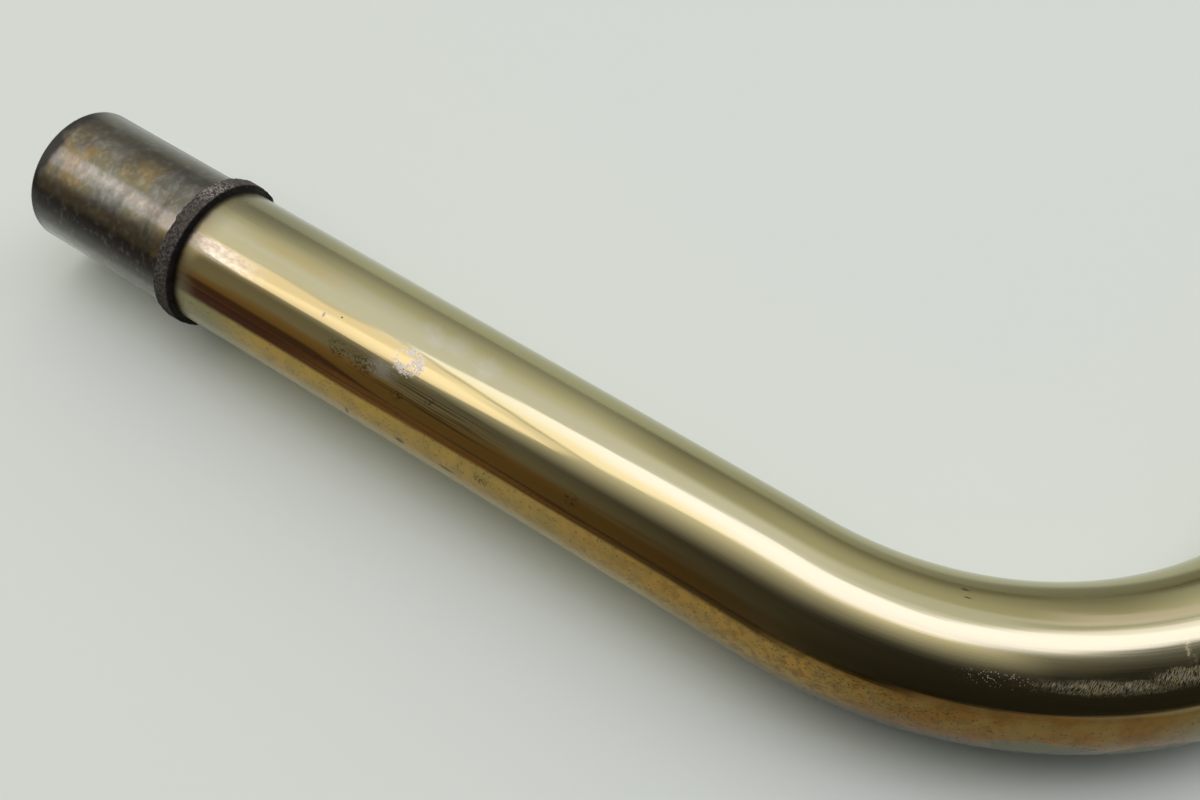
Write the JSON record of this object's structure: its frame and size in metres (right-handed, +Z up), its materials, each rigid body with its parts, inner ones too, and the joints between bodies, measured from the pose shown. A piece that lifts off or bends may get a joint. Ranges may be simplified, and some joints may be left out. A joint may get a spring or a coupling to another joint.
{
  "type": "motorcycle exhaust header",
  "caption": "Bent steel exhaust header pipe with a plain spigot and a brazed stop collar at the cylinder-head end and a plain slip end for the silencer.",
  "frame": {"origin": "on the tube's axis, at the collar's port face", "axes": "-X out of the port mouth, +Y the way the bend turns and the tail points, +Z up from the surface it lies on"},
  "size_m": [0.3533, 0.3741, 0.0422],
  "materials": {
    "tube_steel": "polished, heat-tinted gold with a dark bare spigot, scratched and pitted",
    "collar_steel": "rough burnt scale"
  },
  "bodies": {
    "root": {"header_tube": "tube_steel", "stop_collar": "collar_steel"}
  },
  "joints": []
}
